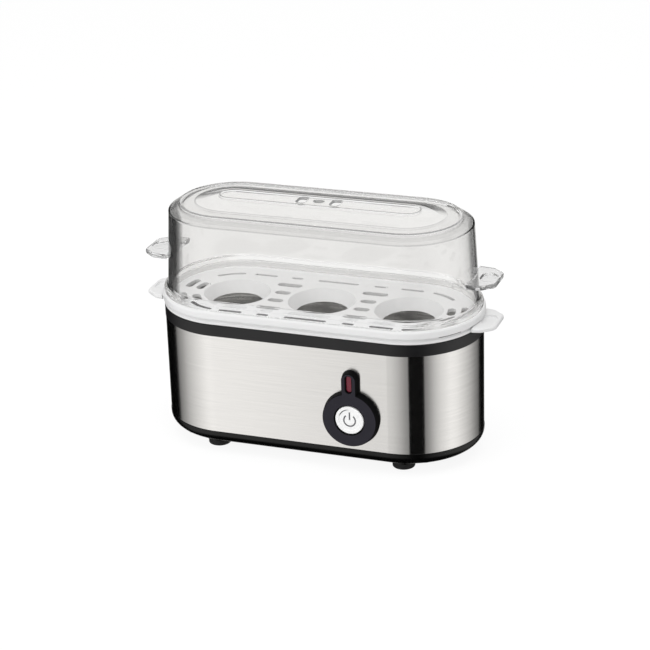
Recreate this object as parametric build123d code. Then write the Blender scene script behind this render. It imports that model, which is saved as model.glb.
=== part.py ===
from build123d import *
import math
import os

# An electric egg cooker for three seats. Millimetres, +X along the length, the control faces -Y,
# +Z is up, and the feet stand on z = 0.

# Plan: every ring follows a long shape with round ends
end_centre_x = 52.0
body_radius = 42.1

# Heights, stacked from the table up
foot_height = 4.0
foot_boss_height = 2.0
base_height = 8.0
sleeve_height = 59.25
band_height = 7.0
rim_height = 7.75

# Fits
slip_gap = 0.05
slide_gap = 0.35
lift_gap = 0.4

# Base pan
base_proud = 0.2
base_corner = 6.7
base_floor = 2.2
upstand_height = 5.0
upstand_wall = 2.0

# Feet
foot_radius = 6.5
foot_boss_radius = 7.6
foot_outboard_x = 4.2
foot_inset_y = 15.1
foot_stem_radius = 2.0
foot_stem_length = 4.6

# Steel sleeve
sheet = 0.6

# Top collar
band_proud = 0.2
collar_mouth_inset = 3.2
collar_skirt_depth = 8.0
collar_skirt_wall = 2.1
ledge_drop = 6.6
ledge_thickness = 3.4
ledge_inset = 7.4

# Screw pillars that tie the collar to the base
pillar_radius = 4.0
pillar_inset = 7.1
pillar_bearing = 60.0
base_post_radius = 4.5
base_post_height = 12.0
screw_radius = 1.5
screw_head_radius = 3.0
screw_head_height = 2.4
screw_bite = 12.0
drive_width = 0.8
drive_reach = 2.2
counterbore_depth = 5.0

# Heating plate and what hangs under it
seal_thickness = 1.0
seal_setback = 0.4
plate_thickness = 1.0
dish_depth = 9.0
dish_inset = 1.2
dish_draft = 1.0
dish_corner = 3.0
element_radius = 3.2
element_turn = 21.0
element_half = 38.0
element_leg_bend = 7.0
element_leg_x = 9.0
element_leg = 3.8
pin_radius = 1.2
pin_length = 7.0
strap_x = 46.0
strap_width = 10.0
strap_thickness = 1.5
strap_drop = 16.1
strap_foot = 2.7
stud_radius = 2.0
stud_length = 15.5
nut_radius = 3.6
nut_height = 3.2
thermostat_radius = 8.0
thermostat_cap = 4.0
thermostat_depth = 9.2
thermostat_ear_x = 12.0
thermostat_ear_width = 10.0
thermostat_ear_thickness = 0.8
small_stud_radius = 1.5
small_stud_length = 8.5
small_nut_radius = 2.8
small_nut_height = 2.4
blade_width = 4.8
blade_thickness = 0.8
blade_length = 8.0
fuse_radius = 2.5
fuse_length = 20.0
fuse_x = -26.0
clip_thickness = 0.8
clip_width = 8.0
clip_ear = 3.6

# Control
control_x = 30.9
control_low_share = 0.2267
lens_gap_share = 0.4356
bezel_radius = 15.9
bezel_stand = 4.2
bezel_slope = 0.8
neck_half = 4.3
neck_over_lens = 2.2
bezel_edge = 0.4
spigot_inset = 2.5
spigot_depth = 1.6
guide_radius = 11.0
guide_depth = 9.5
guide_back = 1.5
button_radius = 8.35
button_recess = 0.3
button_thickness = 2.4
button_length = 6.7
button_wall = 1.3
button_edge = 0.5
button_dish_rim = 6.4
button_dish_draft = 0.25
button_dish_depth = 0.4
plunger_radius = 2.2
plunger_head_radius = 4.0
plunger_head = 1.2
plunger_length = 16.5
button_travel = 2.2
bracket_thickness = 1.5
bracket_half_x = 18.5
bracket_half_z = 8.0
bracket_screw_x = 11.0
bracket_screw_radius = 1.15
bracket_screw_head = 2.2
bracket_screw_head_height = 1.4
bracket_screw_bite = 6.0
bracket_boss_radius = 2.3
switch_half_x = 8.4
switch_half_z = 7.5
switch_depth = 14.0
switch_ear_half_x = 14.5
switch_ear_half_z = 4.0
switch_ear_thickness = 2.0
switch_bore_depth = 8.0
switch_blade_x = 4.0
switch_blade_length = 7.0
lens_width = 3.2
lens_height = 9.8
lens_recess = 1.4
lens_flange = 0.9
lens_flange_thickness = 1.0
holder_width = 8.0
holder_height = 13.0
holder_depth = 7.0
holder_wall = 1.6
lamp_radius = 2.2
lamp_length = 9.0

# Mains entry and wires
gland_z = 27.0
gland_bore = 3.4
gland_neck_radius = 5.0
gland_flange_radius = 7.0
gland_flange = 2.2
gland_inner_radius = 5.8
gland_inner_depth = 5.0
block_x = -26.0
block_y = 26.0
block_length = 26.0
block_width = 12.0
block_height = 12.0
block_pitch = 8.0
wire_radius = 1.0
lamp_wire_radius = 0.7
wire_bend = 2.5
lamp_wire_pitch = 3.0
live_run = 14.0
live_drop = 6.4
earth_drop = 14.3
feed_drop = 13.25
load_drop = 5.0
return_drop = 7.0
strap_wire_y = 8.0
lamp_lead = 8.0

# Egg tray
rim_proud = 1.05
rim_wall_inset = 1.6
rim_wall_core = 0.5
rim_edge = 1.4
rim_lip = 1.55
rim_groove = 0.3
rim_groove_depth = 0.8
rim_groove_ramp = 0.9
tray_depth = 4.0
tray_floor = 2.0
tray_skirt_depth = 3.6
tray_skirt_wall = 1.6
seat_pitch = 52.0
seat_radius = 19.5
seat_hole_radius = 15.0
seat_depth = 6.5
seat_wall = 1.8
row_pitch = 12.0
row_width = 4.8
inner_row_length = 9.4
outer_row_length = 15.0
edge_slot_inset = 11.3
edge_slot_width = 2.4
middle_slot_length = 25.0
short_slot_length = 7.0
short_slot_x = 25.5
side_slot_length = 14.0
side_slot_x = 45.0
end_slot_inset = 9.0
end_slot_width = 4.4
end_slot_span = 15.0
end_slot_bearings = (62.0, 101.0)
corner_slot_span = 29.0
corner_slot_bearings = (26.0, 152.0)
inner_slot_share = 0.375
inner_slot_width = 4.8
inner_slot_span = 14.0
inner_slot_bearings = (54.5, 99.0)

# Finger tabs, the same plan on the tray and the lid
tab_reach = 10.9
tab_root_half = 16.0
tab_tip_half = 9.0
tab_run = 7.0
tab_shoulder = 1.0
tab_round = 5.0
tab_edge = 1.0
tab_dish_back = 6.4
tab_dish_length = 13.6
tab_dish_width = 9.4
tab_dish_draft = 0.5
tray_tab_thickness = 2.6
tray_tab_lift = 0.55
tray_tab_dish = 1.0
lid_tab_thickness = 2.8
lid_tab_rise = 17.8
lid_tab_dish = 1.3

# Lid
lid_wall = 1.9
lid_fit = 0.6
lid_draft = 2.75
lid_shoulder_rise = 48.1
lid_slope_run = 6.75
lid_slope_rise = 4.6
lid_panel_share = 0.7237
lid_crown_share = 0.3318
lid_crown_step = 3.35
lid_ring_sweep = 14.0
lid_crown_sweep = 28.0
lid_lip_reach = 2.1
lid_lip_height = 2.8
lid_lip_sweep = 2.4
lid_skirt_depth = 2.8
vent_x = 10.0
vent_width = 6.0
vent_setback = 2.3
vent_round = 2.0
dimple_radius = 3.4
dimple_depth = 0.6

# Levels
base_bottom = foot_height + foot_boss_height
sleeve_bottom = base_bottom + base_height
sleeve_top = sleeve_bottom + sleeve_height
band_top = sleeve_top + band_height
rim_top = band_top + rim_height
ledge_top = band_top - ledge_drop
ledge_under = ledge_top - ledge_thickness
flange_top = ledge_top + seal_thickness + plate_thickness
plate_top = flange_top - dish_depth
plate_under = plate_top - plate_thickness
floor_top = rim_top - tray_depth
base_inside = base_bottom + base_floor

# The control stands between the base and the collar's skirt, and the room to spare is shared out
control_stack = bezel_radius + bezel_slope + guide_radius + lens_flange + lens_height / 2 + holder_height / 2
spare_room = sleeve_height - collar_skirt_depth - control_stack
control_z = sleeve_bottom + bezel_radius + bezel_slope + spare_room * control_low_share
lens_z = control_z + guide_radius + spare_room * lens_gap_share + lens_flange + lens_height / 2
neck_rise = lens_z - control_z + neck_over_lens

# Plan sizes that follow the steel, from the outside in
sleeve_inside = body_radius - sheet
band_radius = body_radius + band_proud
rim_wall_radius = body_radius - rim_wall_inset
collar_mouth_radius = body_radius - collar_mouth_inset
ledge_radius = body_radius - ledge_inset
pillar_reach = body_radius - pillar_inset
seal_radius = ledge_radius + seal_setback
dish_radius = ledge_radius - dish_inset
foot_x = end_centre_x + foot_outboard_x
foot_y = body_radius - foot_inset_y
tab_tip_x = end_centre_x + body_radius + tab_reach
edge_slot_reach = rim_wall_radius - edge_slot_inset
end_slot_reach = rim_wall_radius - end_slot_inset
inner_slot_reach = seat_radius + (end_slot_reach - seat_radius) * inner_slot_share
lid_foot_radius = rim_wall_radius - lid_fit
lid_lip_radius = lid_foot_radius + lid_lip_reach
lid_shoulder_radius = lid_foot_radius - lid_draft
lid_ring_radius = lid_shoulder_radius - lid_slope_run
lid_panel_radius = lid_ring_radius * lid_panel_share
lid_crown_radius = lid_panel_radius * lid_crown_share
vent_length = 2 * (lid_crown_radius - vent_setback)


def bend(spots, radii, closed):
    """Lines through the spots, each corner rounded by its own radius."""
    count = len(spots)
    turns = []
    for i in range(count):
        spot = spots[i]
        if not radii[i]:
            turns.append((spot, None, spot))
            continue
        back = (spots[i - 1] - spot).normalized()
        ahead = (spots[(i + 1) % count] - spot).normalized()
        half = math.radians(back.get_angle(ahead)) / 2
        reach = radii[i] / math.tan(half)
        inward = (back + ahead).normalized()
        middle = spot + inward * (radii[i] / math.sin(half) - radii[i])
        turns.append((spot + back * reach, middle, spot + ahead * reach))
    edges = []
    for i in range(count):
        first, middle, last = turns[i]
        if middle is not None:
            edges.append(ThreePointArc(first, middle, last))
        if closed or i < count - 1:
            following = turns[(i + 1) % count][0]
            if (following - last).length > 1e-6:
                edges.append(Line(last, following))
    return edges


def section(corners):
    """A closed flat outline from (across, up) or (across, up, corner radius)."""
    spots = [Vector(c[0], c[1]) for c in corners]
    radii = [c[2] if len(c) > 2 else 0 for c in corners]
    return make_face(bend(spots, radii, True))


def ring(outline):
    """Carry an upright outline (distance from the spine, height) round the long plan."""
    side = Plane(origin=(end_centre_x, 0, 0), x_dir=(0, -1, 0), z_dir=(-1, 0, 0))
    face = side * outline
    straight = extrude(face, amount=2 * end_centre_x, dir=(-1, 0, 0))
    turn = revolve(face, Axis((end_centre_x, 0, 0), (0, 0, 1)), 180)
    half = straight + turn
    return half + half.rotate(Axis.Z, 180)


def slab(radius, low, high):
    """A full block of the long plan."""
    plan = SlotCenterToCenter(2 * end_centre_x, 2 * radius)
    return extrude(Pos(0, 0, low) * plan, amount=high - low)


def peg(x, y, low, high, radius):
    """An upright round bar."""
    return Pos(x, y, low) * Cylinder(radius, high - low, align=(Align.CENTER, Align.CENTER, Align.MIN))


def block(x, y, z):
    """A box from three (low, high) pairs."""
    middle = Pos((x[0] + x[1]) / 2, (y[0] + y[1]) / 2, (z[0] + z[1]) / 2)
    return middle * Box(x[1] - x[0], y[1] - y[0], z[1] - z[0])


def lying(x, z, front, back, radius):
    """A round bar along Y, from its front to its back."""
    disc = Plane(origin=(x, front, z), x_dir=(1, 0, 0), z_dir=(0, 1, 0)) * Circle(radius)
    return extrude(disc, amount=back - front, dir=(0, 1, 0))


def upright(outline, front, back):
    """Extrude an outline drawn in X and Z along Y."""
    face = Plane(origin=(0, front, 0), x_dir=(1, 0, 0), z_dir=(0, -1, 0)) * outline
    return extrude(face, amount=back - front, dir=(0, 1, 0))


def four(function):
    """One shape for each corner of the plan."""
    return [function(sx, sy) for sx in (-1, 1) for sy in (-1, 1)]


def group(shapes):
    """Separate solids kept apart in one node."""
    return Compound(children=[s.solid() for s in shapes])


def tube(points, radius):
    """A round wire along straight runs with bent corners."""
    spots = [Vector(*p) for p in points]
    radii = [0] + [wire_bend] * (len(spots) - 2) + [0]
    path = Wire(bend(spots, radii, False))
    start = Plane(origin=spots[0], z_dir=spots[1] - spots[0])
    return sweep(start * Circle(radius), path=path)


def finger_tab(low, high, root_x, dish_depth):
    """A tapered tab on the right-hand end with soft edges and a shallow dish for a fingertip."""
    back_x = tab_tip_x - tab_run
    side = tab_root_half - tab_shoulder
    plan = section([
        (root_x, -tab_root_half),
        (back_x, -side, tab_round),
        (tab_tip_x, -tab_tip_half, tab_round),
        (tab_tip_x, tab_tip_half, tab_round),
        (back_x, side, tab_round),
        (root_x, tab_root_half),
    ])
    body = extrude(Pos(0, 0, low) * plan, amount=high - low)
    levels = body.edges().group_by(Axis.Z)
    free_edges = [edge for edge in levels[0] + levels[-1] if edge.center().X > root_x + 0.01]
    body = fillet(free_edges, tab_edge)
    across = Rot(0, 0, 90)
    rim = SlotOverall(tab_dish_length, tab_dish_width)
    sole = SlotOverall(tab_dish_length - 2 * tab_dish_draft, tab_dish_width - 2 * tab_dish_draft)
    dish_x = tab_tip_x - tab_dish_back
    dish = loft([Pos(dish_x, 0, high - dish_depth) * across * sole, Pos(dish_x, 0, high) * across * rim])
    return body - dish


def both_ends(shape):
    return [shape, shape.rotate(Axis.Z, 180)]


parts = {}

# Base pan: a rounded tray with an upstand inside the steel, foot bosses below and screw posts above
pillar_turn = math.radians(pillar_bearing)
pillar_x = end_centre_x + pillar_reach * math.cos(pillar_turn)
pillar_y = pillar_reach * math.sin(pillar_turn)
upstand_radius = sleeve_inside - 2 * slip_gap
upstand_inside = upstand_radius - upstand_wall
post_top = base_bottom + base_post_height
base = ring(section([
    (0, base_bottom),
    (body_radius + base_proud, base_bottom, base_corner),
    (body_radius + base_proud, sleeve_bottom, base_proud * 1.5),
    (upstand_radius, sleeve_bottom),
    (upstand_radius, sleeve_bottom + upstand_height),
    (upstand_inside, sleeve_bottom + upstand_height),
    (upstand_inside, base_inside, base_corner - base_floor),
    (0, base_inside),
]))
base = base + four(lambda sx, sy: peg(sx * foot_x, sy * foot_y, foot_height, base_inside, foot_boss_radius))
post_low = base_bottom + base_floor / 2
base = base + four(lambda sx, sy: peg(sx * pillar_x, sy * pillar_y, post_low, post_top, base_post_radius))
stem_hole = foot_stem_radius + slip_gap
base = base - four(lambda sx, sy: peg(sx * foot_x, sy * foot_y, foot_height, base_inside, stem_hole))
head_hole = screw_head_radius + 2 * lift_gap
head_seat = base_bottom + counterbore_depth
base = base - four(lambda sx, sy: peg(sx * pillar_x, sy * pillar_y, base_bottom, head_seat, head_hole))
shank_hole = screw_radius + slip_gap
base = base - four(lambda sx, sy: peg(sx * pillar_x, sy * pillar_y, head_seat, post_top, shank_hole))
parts["base_pan"] = base

# Rubber feet with a stem pushed into the base
side_names = {-1: "left", 1: "right"}
depth_names = {-1: "front", 1: "rear"}
for sx in (-1, 1):
    for sy in (-1, 1):
        foot = peg(sx * foot_x, sy * foot_y, 0, foot_height, foot_radius)
        foot = fillet(foot.edges().group_by(Axis.Z)[0], 0.8)
        stem_top = foot_height + foot_stem_length
        foot = foot + peg(sx * foot_x, sy * foot_y, foot_height, stem_top, foot_stem_radius)
        parts["foot_" + depth_names[sy] + "_" + side_names[sx]] = foot

# Screws from below into the collar's pillars
screw_tip = post_top + screw_bite
head_low = head_seat - screw_head_height


def base_screw(sx, sy):
    head = peg(sx * pillar_x, sy * pillar_y, head_low, head_seat, screw_head_radius)
    drive = block((-drive_width / 2, drive_width / 2), (-drive_reach, drive_reach), (head_low, head_low + 1))
    cross = drive + drive.rotate(Axis.Z, 90)
    head = head - Pos(sx * pillar_x, sy * pillar_y, 0) * cross
    return head + peg(sx * pillar_x, sy * pillar_y, head_seat, screw_tip, screw_radius)


parts["base_screws"] = group(four(base_screw))

# Top collar: the visible band, a skirt inside the steel, a ledge for the plate and four pillars
skirt_radius = sleeve_inside - slip_gap
skirt_inside = skirt_radius - collar_skirt_wall
collar = ring(section([
    (band_radius, sleeve_top),
    (band_radius, band_top, 0.6),
    (collar_mouth_radius, band_top, 0.5),
    (collar_mouth_radius, ledge_top),
    (ledge_radius, ledge_top),
    (ledge_radius, ledge_under),
    (skirt_inside, ledge_under),
    (skirt_inside, sleeve_top - collar_skirt_depth),
    (skirt_radius, sleeve_top - collar_skirt_depth),
    (skirt_radius, sleeve_top),
]))
dish_room = slab(ledge_radius, plate_under - 1, ledge_top)
pillar_top = ledge_under + 1
collar = collar + four(lambda sx, sy: peg(sx * pillar_x, sy * pillar_y, post_top, pillar_top, pillar_radius)
                       - dish_room)
collar = collar - four(lambda sx, sy: peg(sx * pillar_x, sy * pillar_y, post_top, screw_tip + 1, shank_hole))
parts["top_collar"] = collar

# Heating plate: a dished steel plate with four studs welded under it
dish_low = dish_radius - dish_draft
flange_radius = collar_mouth_radius - lift_gap
plate = ring(section([
    (flange_radius, flange_top),
    (dish_radius, flange_top, 0.8),
    (dish_low, plate_top, dish_corner),
    (0, plate_top),
    (0, plate_under),
    (dish_low + plate_thickness * 0.9, plate_under, dish_corner + plate_thickness),
    (dish_radius + plate_thickness * 0.9, flange_top - plate_thickness),
    (flange_radius, flange_top - plate_thickness),
]))
weld = plate_under + plate_thickness / 2
for sx in (-1, 1):
    plate = plate + peg(sx * strap_x, 0, plate_under - stud_length, weld, stud_radius)
    plate = plate + peg(sx * thermostat_ear_x, 0, plate_under - small_stud_length, weld, small_stud_radius)
parts["heating_plate"] = plate

# Silicone seal between the collar's ledge and the plate's flange
parts["plate_seal"] = ring(section([
    (seal_radius, ledge_top),
    (flange_radius, ledge_top),
    (flange_radius, ledge_top + seal_thickness),
    (seal_radius, ledge_top + seal_thickness),
]))

# Tubular heating element: one loop under the plate, its two legs bent down at the back
element_z = plate_under - slip_gap - element_radius
leg_x = element_leg_x
leg_low = element_z - element_leg_bend - element_leg
run_x = leg_x + element_leg_bend
bend_off = element_leg_bend * (1 - math.sqrt(0.5))
turn_off = element_turn * math.sqrt(0.5)
element_path = Wire([
    Line((leg_x, element_turn, leg_low), (leg_x, element_turn, element_z - element_leg_bend)),
    ThreePointArc((leg_x, element_turn, element_z - element_leg_bend),
                  (leg_x + bend_off, element_turn, element_z - bend_off), (run_x, element_turn, element_z)),
    Line((run_x, element_turn, element_z), (element_half, element_turn, element_z)),
    ThreePointArc((element_half, element_turn, element_z), (element_half + element_turn, 0, element_z),
                  (element_half, -element_turn, element_z)),
    Line((element_half, -element_turn, element_z), (-element_half, -element_turn, element_z)),
    ThreePointArc((-element_half, -element_turn, element_z), (-element_half - element_turn, 0, element_z),
                  (-element_half, element_turn, element_z)),
    Line((-element_half, element_turn, element_z), (-run_x, element_turn, element_z)),
    ThreePointArc((-run_x, element_turn, element_z), (-leg_x - bend_off, element_turn, element_z - bend_off),
                  (-leg_x, element_turn, element_z - element_leg_bend)),
    Line((-leg_x, element_turn, element_z - element_leg_bend), (-leg_x, element_turn, leg_low)),
])
element_end = Pos(leg_x, element_turn, leg_low) * Circle(element_radius)
parts["heating_element"] = sweep(element_end, path=element_path)
pin_low = leg_low - pin_length
pins = [peg(sx * leg_x, element_turn, pin_low, leg_low, pin_radius) for sx in (-1, 1)]
parts["element_pins"] = group(pins)

# Clamp straps: hat-shaped steel strips that pull the plate down through its studs
strap_low = ledge_under - strap_drop
strap_in = ledge_radius + slip_gap * 4
strap_out = strap_in + strap_thickness
for sx in (-1, 1):
    hat = section([
        (-strap_out, strap_low),
        (strap_out, strap_low),
        (strap_out, ledge_under - strap_thickness),
        (strap_out + strap_foot, ledge_under - strap_thickness),
        (strap_out + strap_foot, ledge_under),
        (strap_in, ledge_under),
        (strap_in, strap_low + strap_thickness),
        (-strap_in, strap_low + strap_thickness),
        (-strap_in, ledge_under),
        (-strap_out - strap_foot, ledge_under),
        (-strap_out - strap_foot, ledge_under - strap_thickness),
        (-strap_out, ledge_under - strap_thickness),
    ])
    low_x = sx * strap_x - strap_width / 2
    face = Plane(origin=(low_x, 0, 0), x_dir=(0, 1, 0), z_dir=(1, 0, 0)) * hat
    strap = extrude(face, amount=strap_width, dir=(1, 0, 0))
    strap = strap - peg(sx * strap_x, 0, strap_low, strap_low + strap_thickness, stud_radius + slip_gap)
    parts["clamp_strap_" + side_names[sx]] = strap


# Nuts on the studs
def nut(x, top, height, radius, hole):
    hexagon = extrude(Pos(x, 0, top - height) * RegularPolygon(radius, 6), amount=height)
    return hexagon - peg(x, 0, top - height, top, hole)


ear_low = plate_under - thermostat_cap - thermostat_ear_thickness
parts["stud_nuts"] = group(
    [nut(sx * strap_x, strap_low, nut_height, nut_radius, stud_radius + slip_gap) for sx in (-1, 1)]
    + [nut(sx * thermostat_ear_x, ear_low, small_nut_height, small_nut_radius, small_stud_radius + slip_gap)
       for sx in (-1, 1)])

# Thermostat: cap against the plate, ears on the small studs, body and two blades below
body_low = ear_low - thermostat_depth
thermostat = peg(0, 0, ear_low, plate_under, thermostat_radius + 0.6)
ear_reach = thermostat_ear_x + thermostat_ear_width / 2
ears = Pos(0, 0, ear_low) * extrude(SlotOverall(2 * ear_reach, thermostat_ear_width),
                                    amount=thermostat_ear_thickness)
for sx in (-1, 1):
    ears = ears - peg(sx * thermostat_ear_x, 0, ear_low, plate_under, small_stud_radius + slip_gap)
thermostat = thermostat + ears + peg(0, 0, body_low, ear_low, thermostat_radius)
blade_y = thermostat_radius - 3
for sy in (-1, 1):
    thermostat = thermostat + block((-blade_width / 2, blade_width / 2),
                                    (sy * blade_y - blade_thickness / 2, sy * blade_y + blade_thickness / 2),
                                    (body_low - blade_length, body_low))
parts["thermostat"] = thermostat
blade_low = body_low - blade_length

# Thermal fuse lying under the plate, held by a saddle clip
fuse_z = plate_under - slip_gap - fuse_radius
parts["thermal_fuse"] = lying(fuse_x, fuse_z, -fuse_length / 2, fuse_length / 2, fuse_radius)
saddle_in = fuse_radius + slip_gap
saddle_out = saddle_in + clip_thickness
saddle = Pos(fuse_x, fuse_z) * Circle(saddle_out)
saddle = saddle + Pos(fuse_x, (fuse_z + plate_under) / 2) * Rectangle(2 * saddle_out, plate_under - fuse_z)
saddle = saddle + Pos(fuse_x, plate_under - clip_thickness / 2) * Rectangle(2 * (saddle_out + clip_ear),
                                                                           clip_thickness)
saddle = saddle - Pos(fuse_x, fuse_z) * Circle(saddle_in)
saddle = saddle - Pos(fuse_x, fuse_z + saddle_out) * Rectangle(2 * saddle_in, 2 * saddle_out)
saddle = saddle & Pos(fuse_x, plate_under - saddle_out * 2) * Rectangle(60, saddle_out * 4)
parts["fuse_clip"] = upright(saddle, -clip_width / 2, clip_width / 2)

# Control: the keyhole surround stands off the steel, with a guide for the button behind it
face_y = -body_radius - bezel_stand
wall_y = -body_radius
spigot_y = wall_y + spigot_depth
guide_y = wall_y + guide_depth


def keyhole(disc, neck):
    """A disc with a round-topped neck above it, in X and Z."""
    stem = Pos(control_x, control_z + neck_rise / 2) * Rectangle(2 * neck, neck_rise)
    crown = Pos(control_x, control_z + neck_rise) * Circle(neck)
    return Pos(control_x, control_z) * Circle(disc) + stem + crown


def upright_plane(y):
    return Plane(origin=(0, y, 0), x_dir=(1, 0, 0), z_dir=(0, -1, 0))


shelf_y = face_y + bezel_edge
bezel = loft([upright_plane(face_y) * keyhole(bezel_radius - bezel_edge, neck_half - bezel_edge),
              upright_plane(shelf_y) * keyhole(bezel_radius, neck_half)])
bezel = bezel + loft([upright_plane(shelf_y) * keyhole(bezel_radius, neck_half),
                      upright_plane(wall_y) * keyhole(bezel_radius + bezel_slope, neck_half + bezel_slope)])
spigot_radius = bezel_radius - spigot_inset
spigot_neck = lens_width / 2 + 1.4
bezel = bezel + upright(keyhole(spigot_radius, spigot_neck), wall_y, spigot_y)
bezel = bezel + lying(control_x, control_z, wall_y, guide_y, guide_radius)
for sx in (-1, 1):
    bezel = bezel + lying(control_x + sx * bracket_screw_x, control_z, wall_y, guide_y, bracket_boss_radius)
bore_radius = button_radius + slide_gap
stem_bore = plunger_radius + slide_gap
bezel = bezel - lying(control_x, control_z, face_y, guide_y - guide_back, bore_radius)
bezel = bezel - lying(control_x, control_z, face_y, guide_y, stem_bore)
rim_cone = Plane(origin=(control_x, face_y, control_z), z_dir=(0, 1, 0)) * Cone(
    bore_radius + 0.5, bore_radius, 0.5, align=(Align.CENTER, Align.CENTER, Align.MIN))
bezel = bezel - rim_cone
thread_hole = bracket_screw_radius + slip_gap
for sx in (-1, 1):
    thread_front = guide_y - bracket_screw_bite - 0.5
    bezel = bezel - lying(control_x + sx * bracket_screw_x, control_z, thread_front, guide_y, thread_hole)


def lens_outline(grow):
    return Pos(control_x, lens_z) * SlotOverall(lens_height + 2 * grow, lens_width + 2 * grow, rotation=90)


bezel = bezel - upright(lens_outline(slip_gap), face_y, spigot_y)
bezel = bezel - loft([upright_plane(face_y) * lens_outline(slip_gap + 0.5),
                      upright_plane(face_y + 0.5) * lens_outline(slip_gap)])
parts["control_bezel"] = bezel

# Steel sleeve, cut for the surround's spigot at the front and the gland at the back
sleeve = ring(section([
    (sleeve_inside, sleeve_bottom),
    (body_radius, sleeve_bottom),
    (body_radius, sleeve_top),
    (sleeve_inside, sleeve_top),
]))
cut = keyhole(spigot_radius + 4 * slip_gap, spigot_neck + 4 * slip_gap)
sleeve = sleeve - upright(cut, -body_radius - 1, -sleeve_inside + 1)
sleeve = sleeve - lying(0, gland_z, sleeve_inside - 1, body_radius + 1, gland_neck_radius + slip_gap)
parts["steel_sleeve"] = sleeve

# Red lens with a flange behind the surround
lens_back = spigot_y + lens_flange_thickness
lens = upright(lens_outline(0), face_y + lens_recess, spigot_y)
lens = lens + upright(lens_outline(lens_flange), spigot_y, lens_back)
parts["indicator_lens"] = lens

# Lamp cap behind the lens and the neon lamp in it
holder_back = lens_back + holder_depth
holder = block((control_x - holder_width / 2, control_x + holder_width / 2), (lens_back, holder_back),
               (lens_z - holder_height / 2, lens_z + holder_height / 2))
pocket_half_x = holder_width / 2 - holder_wall
pocket_half_z = holder_height / 2 - holder_wall
pocket_back = holder_back - holder_wall
holder = holder - block((control_x - pocket_half_x, control_x + pocket_half_x), (lens_back, pocket_back),
                        (lens_z - pocket_half_z, lens_z + pocket_half_z))
parts["lamp_holder"] = holder
lamp_y = holder_back - holder_wall - lamp_radius - slip_gap
lamp_half = lamp_length / 2 - lamp_radius
lamp = peg(control_x, lamp_y, lens_z - lamp_half, lens_z + lamp_half, lamp_radius)
for sz in (-1, 1):
    lamp = lamp + Pos(control_x, lamp_y, lens_z + sz * lamp_half) * Sphere(lamp_radius)
parts["indicator_lamp"] = lamp

# Round button: a cap with a skirt and a shallow sunk face
cap_y = face_y + button_recess
cap_back = cap_y + button_thickness
cap = lying(control_x, control_z, cap_y, cap_y + button_length, button_radius)
cap = fillet(cap.edges().group_by(Axis.Y)[0], button_edge)
cap = cap - lying(control_x, control_z, cap_back, cap_y + button_length, button_radius - button_wall)
cap = cap - Plane(origin=(control_x, cap_y, control_z), z_dir=(0, 1, 0)) * Cone(
    button_dish_rim, button_dish_rim - button_dish_draft, button_dish_depth,
    align=(Align.CENTER, Align.CENTER, Align.MIN))
parts["power_button"] = cap

# Plunger from the cap to the switch
plunger = lying(control_x, control_z, cap_back, cap_back + plunger_head, plunger_head_radius)
stem_front = cap_back + plunger_head
plunger = plunger + lying(control_x, control_z, stem_front, cap_back + plunger_length, plunger_radius)
parts["button_plunger"] = plunger

# Bracket behind the surround: its two legs press on the inside of the steel
bracket_back = guide_y + bracket_thickness
low_z = control_z - bracket_half_z
high_z = control_z + bracket_half_z
bracket_span = (control_x - bracket_half_x, control_x + bracket_half_x)
bracket = block(bracket_span, (guide_y, bracket_back), (low_z, high_z))
for sx in (-1, 1):
    outer = control_x + sx * bracket_half_x
    leg = sorted((outer, outer - sx * bracket_thickness))
    bracket = bracket + block(leg, (-sleeve_inside, bracket_back), (low_z, high_z))
    bracket = bracket - lying(control_x + sx * bracket_screw_x, control_z, guide_y, bracket_back, thread_hole)
bracket = bracket - lying(control_x, control_z, guide_y, bracket_back, stem_bore)
parts["control_bracket"] = bracket

# Push switch behind the bracket
switch_back = bracket_back + switch_depth
switch = block((control_x - switch_half_x, control_x + switch_half_x), (bracket_back, switch_back),
               (control_z - switch_half_z, control_z + switch_half_z))
ear_back = bracket_back + switch_ear_thickness
ear_span = (control_x - switch_ear_half_x, control_x + switch_ear_half_x)
switch = switch + block(ear_span, (bracket_back, ear_back),
                        (control_z - switch_ear_half_z, control_z + switch_ear_half_z))
switch = switch - lying(control_x, control_z, bracket_back, bracket_back + switch_bore_depth, stem_bore)
blade_end = switch_back + switch_blade_length
for sx in (-1, 1):
    switch = switch - lying(control_x + sx * bracket_screw_x, control_z, bracket_back, ear_back, thread_hole)
    middle = control_x + sx * switch_blade_x
    blade_span = (middle - blade_thickness / 2, middle + blade_thickness / 2)
    switch = switch + block(blade_span, (switch_back, blade_end),
                            (control_z - blade_width / 2, control_z + blade_width / 2))
parts["switch_body"] = switch


# Two screws through the switch's ears and the bracket into the surround
def bracket_screw(sx):
    x = control_x + sx * bracket_screw_x
    head = lying(x, control_z, ear_back, ear_back + bracket_screw_head_height, bracket_screw_head)
    return head + lying(x, control_z, guide_y - bracket_screw_bite, ear_back, bracket_screw_radius)


parts["bracket_screws"] = group([bracket_screw(sx) for sx in (-1, 1)])

# Gland for the mains lead in the back of the steel
gland = lying(0, gland_z, body_radius, body_radius + gland_flange, gland_flange_radius)
gland = fillet(gland.edges().group_by(Axis.Y)[-1], 0.8)
gland = gland + lying(0, gland_z, sleeve_inside, body_radius, gland_neck_radius)
gland = gland + lying(0, gland_z, sleeve_inside - gland_inner_depth, sleeve_inside, gland_inner_radius)
gland = gland - lying(0, gland_z, sleeve_inside - gland_inner_depth, body_radius + gland_flange, gland_bore)
parts["cord_gland"] = gland

# Terminal block on the base floor
block_top = base_inside + block_height
block_span = (block_x - block_length / 2, block_x + block_length / 2)
parts["terminal_block"] = block(block_span, (block_y - block_width / 2, block_y + block_width / 2),
                                (base_inside, block_top))

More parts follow.
